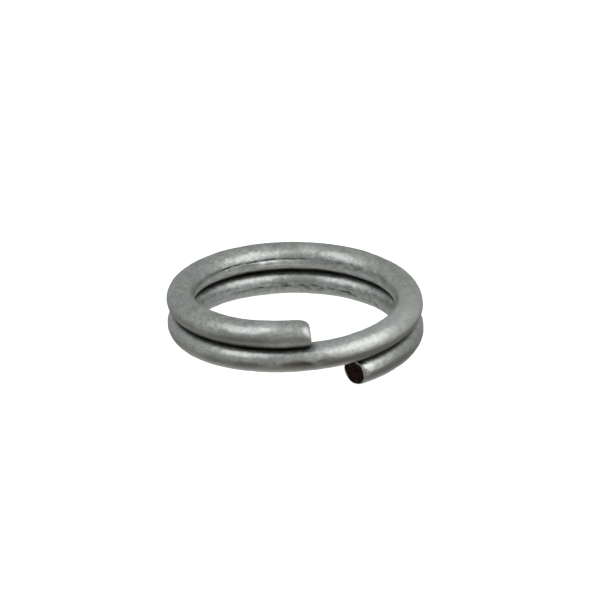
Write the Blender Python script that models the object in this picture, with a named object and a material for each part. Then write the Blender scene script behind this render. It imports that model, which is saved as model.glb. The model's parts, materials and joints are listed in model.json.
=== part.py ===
"""Split key ring: one spring-steel wire wound almost twice round, its two coils touching.

Axes: +Z along the coil's axis, -Y towards the upper cut end, origin at the middle of the coil.
The wire runs from its upper cut end, clockwise seen from above, down to its lower cut end.
Its coils don't stack squarely: they drift back a little on the way down.
It is a single wire. It is modelled in short stretches, joined by hinges, so that the coil can be
prised open: the six stretches over the crossover lift, the six under it drop, and the crossover
stays. Each moving stretch hangs from an empty on its hinge, whose own Z is the hinge's axis.
"""

from math import ceil, cos, pi, radians, sin

import bpy
from mathutils import Matrix, Vector

# Driving dimensions, in metres and radians.
OUTER_DIAMETER = 0.015
WIRE_DIAMETER = 0.00163  # over its plating
COIL_GAP = 0.00002  # between one coil and the next
WOUND_ANGLE = radians(698)
UPPER_END_AZIMUTH = radians(-82.5)
COIL_DRIFT = 0.0006  # how far back the lower end's coil lies from the upper end's
END_ROUNDING = 0.00025  # radius of the tumbled edge round each cut face
STRETCH_GAP = 0.00006  # between one stretch and the next
BEND_OVER_TWIST = 1.3  # a round steel wire is this much stiffer in bending than in twist

# How finely the wire is drawn.
ANGLE_STEP = radians(4)
ROUNDING_STEPS = 4
SECTION_RESOLUTION = 4  # 12 sides

NAMES = (
    "upper_tip",
    "upper_coil_left",
    "upper_coil_back_left",
    "upper_coil_back",
    "upper_coil_back_right",
    "upper_coil_right",
    "crossover",
    "lower_coil_front_left",
    "lower_coil_left",
    "lower_coil_back_left",
    "lower_coil_back",
    "lower_coil_right",
    "lower_tip",
)

WIRE_RADIUS = WIRE_DIAMETER / 2
MEAN_RADIUS = (OUTER_DIAMETER - WIRE_DIAMETER) / 2
PITCH = WIRE_DIAMETER + COIL_GAP
STRETCH_ANGLE = WOUND_ANGLE / len(NAMES)
CROSSOVER = NAMES.index("crossover")

COLOURS = {
    "upper": (0.50, 0.51, 0.49),
    "crossover": (0.44, 0.45, 0.43),
    "lower": (0.38, 0.39, 0.37),
}


def clear_scene():
    for obj in list(bpy.data.objects):
        bpy.data.objects.remove(obj)


def wire_point(angle):
    """The wire's centre this far along from its upper cut face."""
    azimuth = UPPER_END_AZIMUTH - angle
    drift = COIL_DRIFT * (angle / WOUND_ANGLE - 0.5)
    height = (WOUND_ANGLE / 2 - angle) / (2 * pi) * PITCH
    return Vector((MEAN_RADIUS * cos(azimuth), MEAN_RADIUS * sin(azimuth) + drift, height))


def wire_direction(angle):
    """The unit tangent, pointing along the wire from its upper end to its lower end."""
    small = radians(0.1)
    return (wire_point(angle + small) - wire_point(angle - small)).normalized()


def hinge_axis(angle, upper):
    """The axis about which the wire flexes here as its nearer end is prised off the other coil.

    A ring loaded at its end twists in proportion to 1 - cos and bends in proportion to sin of the
    angle from that end. Past half a turn the coil behind it takes the bending, and twist is left.
    """
    from_end = angle if upper else WOUND_ANGLE - angle
    outward = wire_point(angle)
    outward.z = 0
    twist = BEND_OVER_TWIST * (1 - cos(from_end))
    bend = max(0.0, sin(from_end))
    side = -1 if upper else 1
    return (side * twist * wire_direction(angle) + bend * outward.normalized()).normalized()


def rounded_end():
    """(angle from the cut face, share of the full radius) across the tumbled edge of a cut end."""
    stations = []
    for i in range(ROUNDING_STEPS):
        turn = pi / 2 * i / ROUNDING_STEPS
        depth = END_ROUNDING * (1 - cos(turn))
        inset = END_ROUNDING * (1 - sin(turn))
        stations.append((depth / MEAN_RADIUS, 1 - inset / WIRE_RADIUS))
    return stations


def stretch_stations(index):
    """(angle, share of the full radius) along one stretch, with a cut end's edge rounded."""
    first = index == 0
    last = index == len(NAMES) - 1
    half_gap = STRETCH_GAP / 2 / MEAN_RADIUS
    rounding = END_ROUNDING / MEAN_RADIUS
    low = index * STRETCH_ANGLE + (rounding if first else half_gap)
    high = (index + 1) * STRETCH_ANGLE - (rounding if last else half_gap)
    count = ceil((high - low) / ANGLE_STEP)
    stations = [(low + (high - low) * i / count, 1.0) for i in range(count + 1)]
    if first:
        stations = rounded_end() + stations
    if last:
        stations += [(WOUND_ANGLE - angle, share) for angle, share in reversed(rounded_end())]
    return stations


def material(name, colour):
    made = bpy.data.materials.new(name)
    made.use_nodes = True
    shader = made.node_tree.nodes["Principled BSDF"]
    shader.inputs["Base Color"].default_value = (*colour, 1)
    shader.inputs["Roughness"].default_value = 0.32
    shader.inputs["Metallic"].default_value = 1.0
    return made


def make_stretch(index, collection, origin):
    """One stretch of wire, as a curve whose origin is at the given point of the wire."""
    name = NAMES[index]
    curve = bpy.data.curves.new(name, "CURVE")
    curve.dimensions = "3D"
    curve.twist_mode = "Z_UP"
    curve.bevel_depth = WIRE_RADIUS
    curve.bevel_resolution = SECTION_RESOLUTION
    curve.use_fill_caps = True
    stations = stretch_stations(index)
    spline = curve.splines.new("POLY")
    spline.points.add(len(stations) - 1)
    for point, (angle, factor) in zip(spline.points, stations):
        point.co = (*(wire_point(angle) - origin), 1)
        point.radius = factor
    spline.use_smooth = True
    curve.materials.append(material(name, COLOURS[name.split("_")[0]]))
    obj = bpy.data.objects.new(name, curve)
    obj.location = origin
    collection.objects.link(obj)
    return obj


def make_hinge(index, angle, upper, collection):
    """An empty on the hinge that carries a stretch, its Z along the hinge's axis."""
    empty = bpy.data.objects.new(f"{NAMES[index]}_hinge", None)
    empty.empty_display_size = WIRE_DIAMETER
    turn = hinge_axis(angle, upper).to_track_quat("Z", "Y").to_matrix().to_4x4()
    empty.matrix_world = Matrix.Translation(wire_point(angle)) @ turn
    collection.objects.link(empty)
    return empty


def set_parent(child, parent):
    """Parents without moving the child."""
    bpy.context.view_layer.update()
    child.parent = parent
    child.matrix_parent_inverse = parent.matrix_world.inverted()


def add_chain(step, crossover, collection):
    """The moving stretches on one side of the crossover, each on a hinge carried by the last."""
    upper = step < 0
    carrier = crossover
    index = CROSSOVER + step
    while 0 <= index < len(NAMES):
        angle = (index + 1 if upper else index) * STRETCH_ANGLE
        hinge = make_hinge(index, angle, upper, collection)
        stretch = make_stretch(index, collection, wire_point(angle))
        set_parent(hinge, carrier)
        set_parent(stretch, hinge)
        carrier = hinge
        index += step


def main():
    clear_scene()
    collection = bpy.data.collections.new("split_key_ring")
    bpy.context.scene.collection.children.link(collection)
    crossover = make_stretch(CROSSOVER, collection, wire_point(WOUND_ANGLE / 2))
    for step in (-1, 1):
        add_chain(step, crossover, collection)


main()
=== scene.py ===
"""Split key ring: the looks.

The CAD model holds the ring's one wire as stretches with a hinge between each and the next. Here the
wire is drawn again as it looks: one length of plated, drawn steel wire, with a die line along it,
shallow dents and pits, and two sheared ends. It is cut into one piece for each hinge, from the
middle of one stretch to the middle of the next.
The first piece and the last run on to the cut ends.
Lengths are in metres, in the CAD model's frame. The surface's relief, patches and gaps, and names
that end in _mm, are in millimetres.
"""

import json
from math import cos, pi, radians, sin

import bpy
import numpy as np
from mathutils import Matrix, Vector


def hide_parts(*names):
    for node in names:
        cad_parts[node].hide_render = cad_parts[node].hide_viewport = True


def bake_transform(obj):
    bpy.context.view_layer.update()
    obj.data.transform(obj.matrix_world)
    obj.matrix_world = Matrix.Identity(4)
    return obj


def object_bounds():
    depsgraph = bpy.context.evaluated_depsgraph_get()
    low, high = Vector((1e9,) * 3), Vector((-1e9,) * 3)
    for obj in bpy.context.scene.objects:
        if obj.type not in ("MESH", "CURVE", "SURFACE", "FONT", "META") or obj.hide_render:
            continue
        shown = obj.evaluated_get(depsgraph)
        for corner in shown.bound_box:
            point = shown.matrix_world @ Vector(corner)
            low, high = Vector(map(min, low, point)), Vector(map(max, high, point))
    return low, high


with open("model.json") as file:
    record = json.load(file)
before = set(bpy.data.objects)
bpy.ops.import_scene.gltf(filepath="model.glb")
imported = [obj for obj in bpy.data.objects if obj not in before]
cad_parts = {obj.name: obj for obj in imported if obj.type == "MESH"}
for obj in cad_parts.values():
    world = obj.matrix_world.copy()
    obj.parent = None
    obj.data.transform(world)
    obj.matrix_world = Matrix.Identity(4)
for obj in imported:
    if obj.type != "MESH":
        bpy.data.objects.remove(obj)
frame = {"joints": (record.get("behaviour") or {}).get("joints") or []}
cad_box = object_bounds()

MM = 0.001

# The wire's path, as in the CAD model.
WIRE_RADIUS = 0.000815
MEAN_RADIUS = 0.006685
PITCH = 0.00165
WOUND_ANGLE = radians(698)
UPPER_END_AZIMUTH = radians(-82.5)
COIL_DRIFT = 0.0006
STRETCHES = (
    "upper_tip",
    "upper_coil_left",
    "upper_coil_back_left",
    "upper_coil_back",
    "upper_coil_back_right",
    "upper_coil_right",
    "crossover",
    "lower_coil_front_left",
    "lower_coil_left",
    "lower_coil_back_left",
    "lower_coil_back",
    "lower_coil_right",
    "lower_tip",
)
STRETCH_ANGLE = WOUND_ANGLE / len(STRETCHES)
MOST_MISS = 0.00002  # how far a hinge in the record may lie from the path above

# How finely the wire is drawn.
ROWS_PER_STRETCH = 128
SIDES = 112
EDGE_RINGS = 8  # round the edge of a cut face
FACE_RINGS = 14  # from that edge to the middle of the face
END_BLEND_MM = 1.4  # how far from a cut the rows still follow its slant

# The two runs of random numbers.
SURFACE_SEED = 11
CUT_SEED = 23

# Angles round the wire's section.
OUTWARD = 0.0
UP = pi / 2


# ---------------------------------------------------------------- the wire's path


def path_points(angles):
    """The wire's centre at each of these angles along it from its upper cut face."""
    azimuth = UPPER_END_AZIMUTH - angles
    drift = COIL_DRIFT * (angles / WOUND_ANGLE - 0.5)
    height = (WOUND_ANGLE / 2 - angles) / (2 * pi) * PITCH
    x = MEAN_RADIUS * np.cos(azimuth)
    y = MEAN_RADIUS * np.sin(azimuth) + drift
    return np.stack([x, y, height], axis=-1)


def unit(vectors):
    return vectors / np.linalg.norm(vectors, axis=-1, keepdims=True)


def path_frames(angles):
    """(centre, forward, outward, upward) at each angle. The last two span the wire's section."""
    small = radians(0.05)
    centre = path_points(angles)
    forward = unit(path_points(angles + small) - path_points(angles - small))
    azimuth = UPPER_END_AZIMUTH - angles
    radial = np.stack([np.cos(azimuth), np.sin(azimuth), 0 * azimuth], axis=-1)
    outward = unit(radial - (radial * forward).sum(-1, keepdims=True) * forward)
    upward = np.cross(outward, forward)
    upward = upward * np.sign(upward[..., 2:3])
    return centre, forward, outward, upward


def check_path():
    """Stops if the wire drawn here would not run through the CAD model's hinges."""
    hinges = {joint["name"]: joint["pos_m"] for joint in frame["joints"]}
    middle = len(STRETCHES) // 2
    for index, name in enumerate(STRETCHES):
        if index == middle:
            continue
        boundary = index + 1 if index < middle else index
        there = path_points(np.array(boundary * STRETCH_ANGLE))
        miss = np.linalg.norm(there - np.array(hinges[name + "_flex"]))
        assert miss < MOST_MISS, f"the path misses the hinge of {name} by {miss:.6f} m"


# ---------------------------------------------------------------- smooth random fields


def blurred_noise(rng, shape, blur, wraps):
    """Random numbers of this shape, blurred by so many cells along each axis, with deviation 1.

    An axis that doesn't wrap is drawn longer and trimmed, so that its two ends don't match.
    """
    padded = []
    for count, cells, wrap in zip(shape, blur, wraps):
        padded.append(count if wrap else count + int(6 * cells) + 8)
    spectrum = np.fft.fftn(rng.standard_normal(padded))
    for axis, (count, cells) in enumerate(zip(padded, blur)):
        layout = [1] * len(padded)
        layout[axis] = count
        frequency = np.fft.fftfreq(count).reshape(layout)
        spectrum = spectrum * np.exp(-2 * (pi * cells * frequency) ** 2)
    field = np.fft.ifftn(spectrum).real
    field = field[tuple(slice(0, count) for count in shape)]
    return (field - field.mean()) / field.std()


def smooth_step(value, low, high):
    t = np.clip((value - low) / (high - low), 0, 1)
    return t * t * (3 - 2 * t)


def bell(value, middle, width):
    """1 at the middle, falling to about a third at the width."""
    return np.exp(-(((value - middle) / width) ** 2))


def turn_from(angle, other):
    """The signed turn from the other section angle to this one, the short way round."""
    return (angle - other + pi) % (2 * pi) - pi


# ---------------------------------------------------------------- the wire's surface


ROW_COUNT = ROWS_PER_STRETCH * len(STRETCHES) + 1
ROW_ANGLES = np.linspace(0, WOUND_ANGLE, ROW_COUNT)
SIDE_ANGLES = np.arange(SIDES) * 2 * pi / SIDES
ALONG_MM = ROW_ANGLES * MEAN_RADIUS / MM
LENGTH_MM = ALONG_MM[-1]
ROW_MM = ALONG_MM[1]
RADIUS_MM = WIRE_RADIUS / MM
SIDE_MM = 2 * pi * WIRE_RADIUS / MM / SIDES


def surface_noise(rng, along_mm, around_mm):
    """A smooth field over the wire, with patches of about this size along and around it."""
    blur = (along_mm / ROW_MM, around_mm / SIDE_MM)
    return blurred_noise(rng, (ROW_COUNT, SIDES), blur, (False, True))


def line_noise(rng, along_mm):
    """A smooth field along the wire only, as a column."""
    return blurred_noise(rng, (ROW_COUNT,), (along_mm / ROW_MM,), (False,))[:, None]


def neighbour(turn):
    """The coil one turn before or after this one: (how far each point of the surface is from it, in
    millimetres, and how fully it lies beside each row, from 0 to 1)."""
    angle = ROW_ANGLES[:, None] + 0 * SIDE_ANGLES
    centre, _, outward, upward = path_frames(angle)
    around = SIDE_ANGLES[None, :, None]
    point = centre + WIRE_RADIUS * (np.cos(around) * outward + np.sin(around) * upward)
    there = angle + turn
    other_centre, other_forward, _, _ = path_frames(there)
    away = point - other_centre
    away = away - (away * other_forward).sum(-1, keepdims=True) * other_forward
    gap = (np.linalg.norm(away, axis=-1) - WIRE_RADIUS) / MM
    short_of_end = np.minimum(there, WOUND_ANGLE - there) * MEAN_RADIUS / MM
    return gap, smooth_step(short_of_end, -0.55, 0.40)


def seam_angle(rng):
    """Where round the section the die line runs: a little above inward on the upper coil, a little
    below it on the lower one, because the wire turned slowly as it was wound."""
    turn = radians(167) + radians(13) * ROW_ANGLES[:, None] / (2 * pi)
    return turn + radians(2.5) * line_noise(rng, 1.6) + radians(1.0) * line_noise(rng, 0.25)


def bell_along(middle, width):
    """A bell along the wire, as a column, by degrees from its upper cut face."""
    return bell(ROW_ANGLES[:, None], radians(middle), radians(width))


def seam_strength(rng):
    """How deep the die line is, which is most on the two stretches at the ring's back, and how high
    and bright the ridge under it is, which is only on the upper one."""
    upper = 1.15 * bell_along(163, 27)
    lower = bell_along(548, 40)
    broken = smooth_step(line_noise(rng, 0.30), -2.4, -0.8)
    ridge = bell_along(172, 22) * smooth_step(line_noise(rng, 0.5), -2.2, 0.2)
    dashes = smooth_step(line_noise(rng, 0.16), -0.5, 1.0)
    return 0.15 * broken + 0.90 * upper * broken + 0.42 * lower * dashes, ridge


def skin(rng):
    """The plated skin: (its lumps, its dimples, the relief that they and finer marks make)."""
    lumps = surface_noise(rng, 0.55, 0.30)
    dimples = surface_noise(rng, 0.20, 0.16)
    peel = surface_noise(rng, 0.075, 0.065)
    drawn = surface_noise(rng, 2.4, 0.055)
    relief = 0.0054 * lumps + 0.0036 * dimples + 0.0023 * peel + 0.0012 * drawn
    return lumps, dimples, relief


def die_line(rng):
    """The groove that the drawing die left, broken up along its length, with a raised lip under it:
    (how far round from it each point is, its groove, its bright ridge, the relief they make)."""
    off_seam = turn_from(SIDE_ANGLES[None, :], seam_angle(rng)) * WIRE_RADIUS / MM
    strength, ridge = seam_strength(rng)
    ragged = np.clip(1 + 0.35 * surface_noise(rng, 0.11, 0.08), 0, 2)
    groove = bell(off_seam, 0.0, 0.040) * strength * ragged
    lip = smooth_step(off_seam, 0.02, 0.26) * (1 - smooth_step(off_seam, 0.28, 0.52))
    relief = -0.024 * groove + (0.008 * strength + 0.062 * ridge) * lip
    return off_seam, groove, ridge, relief


def torn_skin(rng, off_seam):
    """Rough, torn skin beside the die line, on the lower coil's back and less on the upper one's."""
    lower_place = bell_along(580, 58) * bell(off_seam, -0.02, 0.25)
    upper_place = bell_along(222, 36) * bell(off_seam, 0.0, 0.26)
    streaks = surface_noise(rng, 0.15, 0.036)
    return np.clip(0.80 * streaks - 0.10, 0, 1.1) * (lower_place + 0.75 * upper_place)


def pits(rng):
    """Pits in the plating."""
    return smooth_step(surface_noise(rng, 0.055, 0.050), 2.4, 3.2)


def touching(gap, beside):
    """Where this coil all but touches its neighbour."""
    return (1 - smooth_step(gap, 0.02, 0.10)) * beside


def crease(rng, above, below):
    """Painted shade in the crease between the coils, with some soot and polish residue in it, mostly
    on its upper wall.
    """
    gap_above, beside_above = above
    gap_below, beside_below = below
    on_top = smooth_step(np.sin(SIDE_ANGLES[None, :]), -0.1, 0.1)
    outside = smooth_step(np.cos(SIDE_ANGLES[None, :]), -0.3, 0.3)
    lower_wall = on_top * (1 - smooth_step(gap_above, 0.04, 0.43)) * beside_above
    upper_wall = outside * (1 - smooth_step(gap_below, 0.42, 0.96))
    upper_wall += (1 - outside) * (1 - smooth_step(gap_below, 0.46, 0.80))
    walls = lower_wall + (1 - on_top) * upper_wall * beside_below
    return walls * np.clip(1 + 0.08 * surface_noise(rng, 0.5, 0.12), 0, 1.1)


def near_lower_cut():
    """1 beside the lower cut end, falling to 0 within a millimetre of it."""
    return 1 - smooth_step(LENGTH_MM - ALONG_MM[:, None], 0.40, 0.95)


def bare_metal_and_highlights(rng, off_seam, ridge, lumps, dimples):
    """Bright metal: wear with a painted highlight on the ridge and beside the lower cut, a painted
    highlight on the upper coil at the front right, and wear on the tops of the lumps."""
    # the ridge under the die line: wear with a painted highlight
    ridge_wear_and_highlight = smooth_step(off_seam, 0.02, 0.07) * (1 - smooth_step(off_seam, 0.30, 0.46)) * ridge
    ridge_wear_and_highlight = ridge_wear_and_highlight * np.clip(0.85 + 0.30 * surface_noise(rng, 0.13, 0.06), 0, 1)
    # painted highlight over mottled wear on the skin beside the lower cut
    wear_and_highlight_by_cut = smooth_step(dimples + 0.6 * lumps, -0.2, 1.2) * near_lower_cut()
    # painted highlight: the upper coil at the front right is made lighter all round its section
    front_right_highlight = 0.45 * bell_along(306, 32)
    return ridge_wear_and_highlight + 0.5 * wear_and_highlight_by_cut + front_right_highlight + 0.25 * smooth_step(lumps, 0.8, 2.2)


def outer_side_shade(rng):
    """Painted shade on the side that faces out and a little down, and lower down on the crossover.
    The lower coil's last stretch is painted darker higher up too, where the upper coil shades it."""
    around = turn_from(SIDE_ANGLES[None, :], OUTWARD)
    crossover = bell_along(325, 38)
    shaded = bell(around, radians(-11) - radians(12) * crossover, radians(22))
    shaded += 0.30 * crossover * bell(around, radians(-12), radians(12))
    shaded += 0.42 * bell_along(675, 38) * bell(around, radians(28), radians(34))
    return shaded * (0.80 + 0.20 * np.clip(surface_noise(rng, 0.9, 0.22), -2, 1))


def stain(rng):
    """Brown stains on the lower coil's outer side: one under the upper cut end, and a fainter one
    a little further along."""
    around = turn_from(SIDE_ANGLES[None, :], OUTWARD)
    stained = bell_along(363, 13) + 0.55 * bell_along(392, 13)
    stained = stained * bell(around, radians(-3), radians(20))
    return stained * smooth_step(surface_noise(rng, 0.30, 0.14), -1.5, 0.6)


def make_surface():
    """The wire's side as fields over rows and sides: relief in millimetres and masks from 0 to 1."""
    rng = np.random.default_rng(SURFACE_SEED)
    lumps, dimples, relief = skin(rng)
    off_seam, groove, ridge, line_relief = die_line(rng)
    torn = torn_skin(rng, off_seam)
    pitted = pits(rng)
    relief += line_relief
    relief -= 0.008 * torn
    relief -= 0.010 * pitted

    # Where the two coils touch, nothing stands proud.
    above = neighbour(-2 * pi)
    below = neighbour(2 * pi)
    flattened = touching(*above) + touching(*below)
    relief = relief * (1 - flattened) - 0.004 * flattened

    # Dark grime lies in every hollow, and the crease is darkened with painted shade as well as soot.
    crease_shade_and_soot = crease(rng, above, below)
    specks = smooth_step(surface_noise(rng, 0.075, 0.060), 0.7, 1.7) * near_lower_cut()
    masks = {
        # painted shade in the crease, with grime in the die line, pits, torn skin and specks
        "dirt_and_crease_shade": crease_shade_and_soot + 1.15 * groove + 0.25 * pitted + 0.64 * torn + 0.45 * specks,
        "wear_and_highlight": bare_metal_and_highlights(rng, off_seam, ridge, lumps, dimples),
        "outer_side_shade": outer_side_shade(rng),
        "stain": stain(rng),
    }
    return relief, masks


# ---------------------------------------------------------------- the two cut ends


UPPER_CUT = {
    "set_back": 0.05,
    "slant": 0.03,
    "slant_towards": radians(40),
    "edge": 0.13,
    "edge_more": 0.24,
    "edge_more_towards": UP,
    "edge_length": 2.1,
}
LOWER_CUT = {
    "set_back": 0.02,
    "slant": 0.31,
    "slant_towards": OUTWARD,
    "edge": 0.06,
    "edge_more": 0.05,
    "edge_more_towards": radians(35),
    "edge_length": 1.5,
}


class CutEnd:
    """One sheared end, in millimetres. The cutter leaned one way, so that the cut lies further back
    there, and it rolled the edge over, on one side more. edge is how far that edge comes in from the
    wire's side, and edge_length is how many times as far it runs along the wire.
    """

    def __init__(
        self, rng, set_back, slant, slant_towards, edge, edge_more, edge_more_towards, edge_length
    ):
        self.set_back = set_back
        self.slant = slant
        self.lean = np.cos(SIDE_ANGLES - slant_towards)
        edge = edge + edge_more * (0.5 + 0.5 * np.cos(SIDE_ANGLES - edge_more_towards)) ** 2
        self.edge = edge * (1 + 0.10 * blurred_noise(rng, (SIDES,), (5,), (True,)))
        self.edge_length = edge_length

    def back(self, share):
        """How far back into the wire the cut lies, at this share of the wire's radius."""
        return self.set_back + self.slant * RADIUS_MM * share * self.lean

    def side_start(self):
        """How far back the wire's plain side begins."""
        return self.back(1.0) + self.edge * self.edge_length


def face_relief(rng, shares):
    """The torn middle of a cut face: (ring, side) depths in millimetres."""
    count = 64
    coarse = blurred_noise(rng, (count, count), (3.2, 3.2), (True, True))
    fine = blurred_noise(rng, (count, count), (1.3, 1.3), (True, True))
    x = shares[:, None] * np.cos(SIDE_ANGLES)
    y = shares[:, None] * np.sin(SIDE_ANGLES)
    column = ((x + 1) / 2 * (count - 1)).round().astype(int)
    row = ((y + 1) / 2 * (count - 1)).round().astype(int)
    step = 0.05 * smooth_step(y + 0.25 * x, -0.12, 0.06)
    torn = 0.03 + 0.016 * coarse[row, column] + 0.005 * fine[row, column]
    return (torn + step) * (1 - smooth_step(shares[:, None], 0.60, 0.90))


def end_rings(rng, end):
    """The rings from the middle of a cut face out to the wire's side, as (how far along from the
    CAD model's cut face in millimetres, share of the wire's radius, how much it is cut metal)."""
    edge_share = end.edge / RADIUS_MM
    rings = []
    parts = np.linspace(0, 1, FACE_RINGS + 1)[1:]
    depth = face_relief(rng, parts * (1 - edge_share.mean()))
    ragged = 0.06 * blurred_noise(rng, (SIDES,), (3,), (True,))
    for number, part in enumerate(parts):
        share = part * (1 - edge_share)
        torn = 1 - smooth_step(part + ragged, 0.94, 1.06)
        rings.append((end.back(share) + depth[number], share, torn))
    for number in range(1, EDGE_RINGS):
        turn = pi / 2 * number / EDGE_RINGS
        share = 1 - edge_share * (1 - sin(turn))
        along = end.back(share) + end.edge * end.edge_length * (1 - cos(turn))
        rings.append((along, share, np.zeros(SIDES)))
    return rings


# ---------------------------------------------------------------- the whole wire


MASKS = ("dirt_and_crease_shade", "wear_and_highlight", "outer_side_shade", "stain", "cut")


class Grid:
    """Every ring of the whole wire, from one cut face to the other: its place along the wire in
    millimetres, its share of the wire's radius, and its masks."""

    def __init__(self):
        self.along = []
        self.share = []
        self.masks = {name: [] for name in MASKS}

    def add(self, along, share, masks, cut):
        self.along.append(along)
        self.share.append(share)
        for name in MASKS:
            self.masks[name].append(cut if name == "cut" else np.clip(masks[name], 0, 1))

    def finish(self):
        self.along = np.array(self.along)
        self.share = np.array(self.share)
        self.masks = {name: np.array(rings) for name, rings in self.masks.items()}


def make_grid():
    """The rings of the whole wire, and the number of the ring that the side's first row became."""
    relief, masks = make_surface()
    relief_share = relief / RADIUS_MM
    rng = np.random.default_rng(CUT_SEED)
    upper = CutEnd(rng, **UPPER_CUT)
    lower = CutEnd(rng, **LOWER_CUT)
    upper_start = upper.side_start()
    lower_start = lower.side_start()
    grid = Grid()

    def add_end(rings, row, flip):
        """One cut end's rings, which take on the side's nearest row towards their edge."""
        for along, share, cut in rings:
            keep = smooth_step(share, 0.75, 1.0)
            here = {name: mask[row] * keep for name, mask in masks.items()}
            place = LENGTH_MM - along if flip else along
            grid.add(place, share + keep * relief_share[row], here, cut)

    add_end(end_rings(rng, upper), 0, False)
    first = len(grid.along)
    for row in range(ROW_COUNT):
        near_start = np.clip(1 - ALONG_MM[row] / END_BLEND_MM, 0, 1)
        near_finish = np.clip(1 - (LENGTH_MM - ALONG_MM[row]) / END_BLEND_MM, 0, 1)
        along = ALONG_MM[row] + upper_start * near_start - lower_start * near_finish
        here = {name: mask[row] for name, mask in masks.items()}
        grid.add(along, 1 + relief_share[row], here, np.zeros(SIDES))
    add_end(reversed(end_rings(rng, lower)), -1, True)
    grid.finish()
    return grid, first


def grid_points(grid):
    """Where each point of the grid lies, in the CAD model's frame."""
    centre, _, outward, upward = path_frames(grid.along * MM / MEAN_RADIUS)
    around = SIDE_ANGLES[None, :, None]
    radius = (WIRE_RADIUS * grid.share)[..., None]
    return centre + radius * (np.cos(around) * outward + np.sin(around) * upward)


def grid_normals(points):
    """Smooth normals over the whole wire, so that no seam shows where it is cut into pieces."""
    after = np.roll(points, -1, axis=1)
    across_a = after[1:] - points[:-1]
    across_b = points[1:] - after[:-1]
    faces = np.cross(across_a, across_b)
    normals = np.zeros_like(points)
    normals[:-1] += faces
    normals[1:] += faces
    normals[:-1] += np.roll(faces, 1, axis=1)
    normals[1:] += np.roll(faces, 1, axis=1)
    middle = points.mean(axis=1, keepdims=True)
    sign = np.sign(((points - middle) * normals).sum(-1)[len(points) // 2].sum())
    return unit(normals) * sign


# ---------------------------------------------------------------- pieces


def fan(ring, centre, flip):
    """Triangles from a ring of points to one point in its middle."""
    after = np.roll(ring, -1)
    middle = np.full(SIDES, centre)
    columns = (after, ring, middle) if flip else (ring, after, middle)
    return np.stack(columns, axis=1)


def make_piece(name, grid, points, normals, first, last, material):
    """The rings from first to last as one closed mesh, with its surface values for the material."""
    rings = last - first + 1
    vertices = points[first : last + 1].reshape(-1, 3)
    smooth = normals[first : last + 1].reshape(-1, 3)
    numbers = np.arange(rings * SIDES).reshape(rings, SIDES)
    after = np.roll(numbers, -1, axis=1)
    quads = np.stack([numbers[:-1], after[:-1], after[1:], numbers[1:]], axis=-1).reshape(-1, 4)
    start_middle = vertices[:SIDES].mean(axis=0)
    finish_middle = vertices[-SIDES:].mean(axis=0)
    vertices = np.vstack([vertices, start_middle, finish_middle])
    start_cap = fan(numbers[0], rings * SIDES, True)
    finish_cap = fan(numbers[-1], rings * SIDES + 1, False)
    sample = quads[0]
    facing = np.cross(
        vertices[sample[2]] - vertices[sample[0]], vertices[sample[3]] - vertices[sample[1]]
    )
    if facing @ smooth[sample[0]] < 0:
        quads = quads[:, ::-1]
        start_cap = start_cap[:, ::-1]
        finish_cap = finish_cap[:, ::-1]
    mesh = bpy.data.meshes.new(name)
    faces = quads.tolist() + start_cap.tolist() + finish_cap.tolist()
    mesh.from_pydata(vertices.tolist(), [], faces)
    mesh.polygons.foreach_set("use_smooth", [True] * len(faces))
    ahead = unit(points[last].mean(axis=0) - points[last - 1].mean(axis=0))
    behind = unit(points[first].mean(axis=0) - points[first + 1].mean(axis=0))
    side_loops = smooth[quads].reshape(-1, 3)
    start_loops = np.tile(behind, (SIDES * 3, 1))
    finish_loops = np.tile(ahead, (SIDES * 3, 1))
    loops = np.vstack([side_loops, start_loops, finish_loops])
    mesh.normals_split_custom_set(loops.tolist())
    add_surface_values(mesh, grid, first, last)
    mesh.materials.append(material)
    piece = bpy.data.objects.new(name, mesh)
    bpy.context.scene.collection.objects.link(piece)
    return piece


def add_surface_values(mesh, grid, first, last):
    """Stores each point's place on the straightened wire and its masks, for the material to read."""
    rows = slice(first, last + 1)
    share = grid.share[rows]
    place = np.stack(
        [
            grid.along[rows],
            share * WIRE_RADIUS / MM * np.cos(SIDE_ANGLES),
            share * WIRE_RADIUS / MM * np.sin(SIDE_ANGLES),
        ],
        axis=-1,
    ).reshape(-1, 3)
    ends = np.array([[grid.along[first].mean(), 0, 0], [grid.along[last].mean(), 0, 0]])
    wire_place = mesh.attributes.new("wire_place", "FLOAT_VECTOR", "POINT")
    wire_place.data.foreach_set("vector", np.vstack([place, ends]).astype(np.float32).ravel())
    for name in MASKS:
        values = grid.masks[name][rows]
        values = np.concatenate([values.ravel(), [values[0].mean(), values[-1].mean()]])
        stored = mesh.attributes.new(name, "FLOAT", "POINT")
        stored.data.foreach_set("value", values.astype(np.float32))


def make_wire(material):
    """One piece across each hinge, reaching into the two stretches that the hinge joins."""
    grid, first_row = make_grid()
    points = grid_points(grid)
    normals = grid_normals(points)
    half = ROWS_PER_STRETCH // 2
    last_index = len(STRETCHES) - 2
    for index in range(last_index + 1):
        first = first_row + half + index * ROWS_PER_STRETCH
        last = first + ROWS_PER_STRETCH
        if index == 0:
            first = 0
        if index == last_index:
            last = len(points) - 1
        before, after = STRETCHES[index], STRETCHES[index + 1]
        name = f"wire_{before}" if index < last_index else f"wire_{before}_and_end"
        piece = make_piece(name, grid, points, normals, first, last, material)
        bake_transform(piece)
        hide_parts(before)
        if index == last_index:
            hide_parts(after)


# ---------------------------------------------------------------- materials


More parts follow.
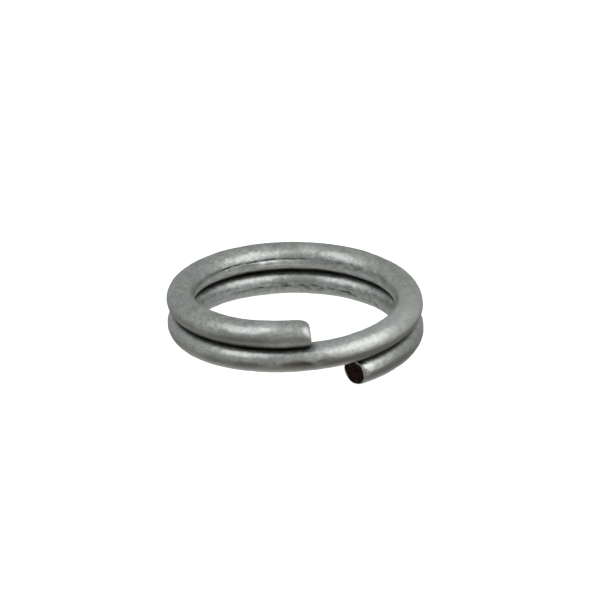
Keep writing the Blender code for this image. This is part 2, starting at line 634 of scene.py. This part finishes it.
class Nodes:
    """Short ways to add and join a material's nodes."""

    def __init__(self, tree):
        self.tree = tree

    def add(self, kind, **settings):
        node = self.tree.nodes.new(kind)
        for name, value in settings.items():
            setattr(node, name, value)
        return node

    def join(self, output, socket):
        self.tree.links.new(output, socket)

    def attribute(self, name):
        return self.add("ShaderNodeAttribute", attribute_name=name)

    def noise(self, vector, scale, detail=3.0, roughness=0.55, stretch=None):
        """A noise texture over the straightened wire. A stretch lengthens it along the wire."""
        if stretch:
            mapping = self.add("ShaderNodeMapping")
            mapping.inputs["Scale"].default_value = (1 / stretch, 1, 1)
            self.join(vector, mapping.inputs["Vector"])
            vector = mapping.outputs["Vector"]
        node = self.add("ShaderNodeTexNoise")
        node.inputs["Scale"].default_value = scale
        node.inputs["Detail"].default_value = detail
        node.inputs["Roughness"].default_value = roughness
        self.join(vector, node.inputs["Vector"])
        return node.outputs["Fac"]

    def spread(self, value, low, high, to_low=0.0, to_high=1.0):
        """A value's range from low to high, stretched to another range and held inside it."""
        node = self.add("ShaderNodeMapRange")
        node.inputs["From Min"].default_value = low
        node.inputs["From Max"].default_value = high
        node.inputs["To Min"].default_value = to_low
        node.inputs["To Max"].default_value = to_high
        self.join(value, node.inputs["Value"])
        return node.outputs["Result"]

    def math(self, operation, a, b):
        node = self.add("ShaderNodeMath", operation=operation)
        for value, socket in zip((a, b), node.inputs):
            if isinstance(value, (int, float)):
                socket.default_value = value
            else:
                self.join(value, socket)
        return node.outputs["Value"]

    def mix(self, factor, a, b):
        """Between two colours, by a factor."""
        node = self.add("ShaderNodeMix", data_type="RGBA")
        self.join(factor, node.inputs[0])
        for value, socket in zip((a, b), (node.inputs[6], node.inputs[7])):
            if isinstance(value, tuple):
                socket.default_value = (*value, 1)
            else:
                self.join(value, socket)
        return node.outputs[2]


# Colours of the plating, of what lies on it, and of the painted shade and highlights on it.
PLATING_DULL = (0.48, 0.50, 0.48)
PLATING_BRIGHT = (0.61, 0.635, 0.61)
BLUISH = (0.53, 0.53, 0.575)
GREENISH = (0.54, 0.57, 0.515)
SPECKLE_DARK = (0.35, 0.36, 0.335)
SPECKLE_LIGHT = (0.80, 0.82, 0.80)
GRAIN_DARK = (0.36, 0.365, 0.335)
STREAK_DARK = (0.40, 0.41, 0.385)
# bright metal of wear, and painted highlights
BARE_METAL_AND_HIGHLIGHT = (0.92, 0.94, 0.91)
# painted shade on the ring's outer, lower side
OUTER_SIDE_SHADE = (0.24, 0.23, 0.205)
BROWN_STAIN = (0.125, 0.105, 0.085)
# near-black for grime and for the painted shade in the crease
SOOT_AND_CREASE_SHADE = (0.030, 0.027, 0.023)
SHEARED_DARK = (0.010, 0.005, 0.004)
SHEARED_RUST = (0.060, 0.026, 0.018)


def wire_colour(nodes, place, blotches, grain, streaks):
    """Mottled plating with the masks over it: wear and painted highlights, painted shade on the outer
    side, stains, grime and painted crease shade, then sheared.
    """
    speckle = nodes.noise(place, 4.5, detail=3, roughness=0.6)
    tint = nodes.noise(place, 0.9, detail=2)
    flecks = nodes.noise(place, 11.0, detail=3)
    colour = nodes.mix(nodes.spread(blotches, 0.35, 0.65), PLATING_DULL, PLATING_BRIGHT)
    for value, none_at, all_at, most, tone in (
        (tint, 0.52, 0.68, 0.55, BLUISH),
        (tint, 0.48, 0.32, 0.55, GREENISH),
        (speckle, 0.50, 0.32, 0.6, SPECKLE_DARK),
        (speckle, 0.54, 0.70, 0.5, SPECKLE_LIGHT),
        (grain, 0.44, 0.30, 0.55, GRAIN_DARK),
        (streaks, 0.55, 0.75, 0.45, STREAK_DARK),
    ):
        colour = nodes.mix(nodes.spread(value, none_at, all_at, 0, most), colour, tone)
    for mask, tone in (
        ("wear_and_highlight", BARE_METAL_AND_HIGHLIGHT),
        ("outer_side_shade", OUTER_SIDE_SHADE),
        ("stain", BROWN_STAIN),
        ("dirt_and_crease_shade", SOOT_AND_CREASE_SHADE),
    ):
        colour = nodes.mix(nodes.attribute(mask).outputs["Fac"], colour, tone)
    sheared = nodes.mix(nodes.spread(flecks, 0.42, 0.62), SHEARED_DARK, SHEARED_RUST)
    cut = nodes.attribute("cut").outputs["Fac"]
    return nodes.mix(nodes.spread(cut, 0.35, 0.85), colour, sheared)


def wire_roughness(nodes, blotches, grain):
    """Satin, a little rougher in places, and rough in the grime, in the painted crease shade and
    where sheared.
    """
    rough = nodes.spread(blotches, 0.30, 0.70, 0.30, 0.42)
    rough = nodes.math("ADD", rough, nodes.spread(grain, 0.35, 0.65, -0.04, 0.06))
    for mask in ("dirt_and_crease_shade", "cut"):
        amount = nodes.attribute(mask).outputs["Fac"]
        rough = nodes.math("ADD", rough, nodes.math("MULTIPLY", amount, 0.25))
    return rough


def wire_bump(nodes, place, streaks):
    """The finest drawing lines and grain, too small for the mesh."""
    height = nodes.math("MULTIPLY", streaks, 0.5)
    height = nodes.math("ADD", height, nodes.noise(place, 30.0, detail=3))
    bump = nodes.add("ShaderNodeBump")
    bump.inputs["Strength"].default_value = 0.35
    bump.inputs["Distance"].default_value = 0.004 * MM
    nodes.join(height, bump.inputs["Height"])
    return bump.outputs["Normal"]


def plated_wire():
    """Satin grey plating over drawn wire, mottled, grimy in its hollows, with painted shade and
    highlights, dark where it was sheared.
    """
    material = bpy.data.materials.new("plated_wire")
    material.use_nodes = True
    nodes = Nodes(material.node_tree)
    place = nodes.attribute("wire_place").outputs["Vector"]
    blotches = nodes.noise(place, 1.6, detail=4, roughness=0.6)
    grain = nodes.noise(place, 9.0, detail=4, roughness=0.65)
    streaks = nodes.noise(place, 14.0, detail=2, stretch=14)
    shader = material.node_tree.nodes["Principled BSDF"]
    nodes.join(wire_colour(nodes, place, blotches, grain, streaks), shader.inputs["Base Color"])
    nodes.join(wire_roughness(nodes, blotches, grain), shader.inputs["Roughness"])
    nodes.join(wire_bump(nodes, place, streaks), shader.inputs["Normal"])
    shader.inputs["Metallic"].default_value = 1.0
    return material


# ---------------------------------------------------------------- the studio


FLOOR_SIZE = 0.5
FLOOR_CLEARANCE = 0.0026  # room under the ring for its lower end to be prised down
FLOOR_GLOW = 0.75
LAMP_DISTANCE = 0.25

# The room's tones, as the ring reflects them.
ROOM_LEVEL = (0.43, 0.445, 0.437)
ROOM_OVERHEAD = (0.49, 0.505, 0.495)
ROOM_BACK = (0.375, 0.39, 0.382)
ROOM_LOW_FRONT = (0.37, 0.365, 0.35)
ROOM_BELOW = (0.50, 0.50, 0.485)
ROOM_LOW_BACK = (0.58, 0.58, 0.565)

# The camera, which stands a little to the right of the ring's middle and a little above it.
CAMERA_HEIGHT = radians(23.31)
CAMERA_ROLL = radians(2.04)
CAMERA_DISTANCE = 0.8152
VIEW_SIZE = 0.034842  # what the picture's longer side, its height, spans at the ring
MOVED_RIGHT = 0.00005
MOVED_UP = 0.000792


def pale_floor():
    """A white floor under the ring, left out of its reflections so that its underside stays dark."""
    material = bpy.data.materials.new("pale_floor")
    material.use_nodes = True
    shader = material.node_tree.nodes["Principled BSDF"]
    shader.inputs["Base Color"].default_value = (0.85, 0.85, 0.85, 1)
    shader.inputs["Roughness"].default_value = 0.9
    shader.inputs["Emission Color"].default_value = (1, 1, 1, 1)
    shader.inputs["Emission Strength"].default_value = FLOOR_GLOW
    half = FLOOR_SIZE / 2
    corners = [(-half, -half, 0), (half, -half, 0), (half, half, 0), (-half, half, 0)]
    mesh = bpy.data.meshes.new("floor")
    mesh.from_pydata(corners, [], [(0, 1, 2, 3)])
    mesh.materials.append(material)
    floor = bpy.data.objects.new("floor", mesh)
    floor.location = (0, 0, cad_box[0].z - FLOOR_CLEARANCE)
    floor.visible_glossy = False
    bpy.context.scene.collection.objects.link(floor)


def direction(side, height):
    """Towards a place so far to the camera's right and so far up, both as angles from the ring."""
    return Vector((sin(side) * cos(height), -cos(side) * cos(height), sin(height)))


def softbox(name, side, height, width, tall, brightness):
    """A rectangle of light that faces the ring."""
    light = bpy.data.lights.new(name, "AREA")
    light.shape = "RECTANGLE"
    light.size = width
    light.size_y = tall
    light.energy = brightness * pi * width * tall
    lamp = bpy.data.objects.new(name, light)
    towards = direction(side, height)
    lamp.location = LAMP_DISTANCE * towards
    lamp.rotation_euler = towards.to_track_quat("Z", "Y").to_euler()
    lamp.visible_camera = False
    bpy.context.scene.collection.objects.link(lamp)


def room_colour(nodes):
    """The room's grey in each direction: lighter overhead, straight down and low at the back,
    darker behind the ring and low in front of it."""
    place = nodes.add("ShaderNodeTexCoord")
    parts = nodes.add("ShaderNodeSeparateXYZ")
    nodes.join(place.outputs["Generated"], parts.inputs["Vector"])
    back = parts.outputs["Y"]
    up = parts.outputs["Z"]
    front = nodes.math("MULTIPLY", back, -1.0)
    low_front = nodes.math("MULTIPLY", nodes.spread(front, 0.1, 0.7), nodes.spread(up, 0.0, -0.5))
    low_back = nodes.math("MULTIPLY", nodes.spread(back, 0.0, 0.5), nodes.spread(up, -0.55, -0.85))
    colour = nodes.mix(nodes.spread(up, 0.1, 1.0), ROOM_LEVEL, ROOM_OVERHEAD)
    colour = nodes.mix(nodes.spread(back, 0.3, 0.9), colour, ROOM_BACK)
    colour = nodes.mix(low_front, colour, ROOM_LOW_FRONT)
    colour = nodes.mix(nodes.spread(up, -0.75, -1.0), colour, ROOM_BELOW)
    return nodes.mix(low_back, colour, ROOM_LOW_BACK)


def studio_world():
    """A plain grey room for the ring to reflect, and white behind the floor."""
    world = bpy.data.worlds.new("studio")
    world.use_nodes = True
    bpy.context.scene.world = world
    nodes = Nodes(world.node_tree)
    room = world.node_tree.nodes["Background"]
    nodes.join(room_colour(nodes), room.inputs["Color"])
    behind = nodes.add("ShaderNodeBackground")
    behind.inputs["Color"].default_value = (1, 1, 1, 1)
    seen = nodes.add("ShaderNodeLightPath")
    mixed = nodes.add("ShaderNodeMixShader")
    nodes.join(seen.outputs["Is Camera Ray"], mixed.inputs[0])
    nodes.join(room.outputs[0], mixed.inputs[1])
    nodes.join(behind.outputs[0], mixed.inputs[2])
    nodes.join(mixed.outputs[0], world.node_tree.nodes["World Output"].inputs["Surface"])


def studio_camera():
    """A long lens a little above the ring, rolled slightly, with the ring just below the middle."""
    forward = Vector((0, cos(CAMERA_HEIGHT), -sin(CAMERA_HEIGHT)))
    level_up = Vector((0, sin(CAMERA_HEIGHT), cos(CAMERA_HEIGHT)))
    level_right = Vector((1, 0, 0))
    right = cos(CAMERA_ROLL) * level_right - sin(CAMERA_ROLL) * level_up
    up = cos(CAMERA_ROLL) * level_up + sin(CAMERA_ROLL) * level_right
    place = -CAMERA_DISTANCE * forward + MOVED_RIGHT * right + MOVED_UP * up
    data = bpy.data.cameras.new("camera")
    data.sensor_width = 36
    data.lens = data.sensor_width * CAMERA_DISTANCE / VIEW_SIZE
    data.clip_start = 0.01
    data.clip_end = 10
    camera = bpy.data.objects.new("camera", data)
    axes = Matrix((right, up, -forward)).transposed().to_4x4()
    camera.matrix_world = Matrix.Translation(place) @ axes
    bpy.context.scene.collection.objects.link(camera)
    bpy.context.scene.camera = camera


def make_studio():
    pale_floor()
    softbox("left_softbox", radians(-57), radians(42), width=0.15, tall=0.22, brightness=1.10)
    softbox("right_softbox", radians(58), radians(38), width=0.25, tall=0.21, brightness=1.10)
    softbox("low_right_softbox", radians(56), radians(-2), width=0.20, tall=0.09, brightness=0.78)
    studio_world()
    studio_camera()
    bpy.context.scene.view_settings.view_transform = "Standard"


# ---------------------------------------------------------------- all of it


check_path()
make_wire(plated_wire())
make_studio()
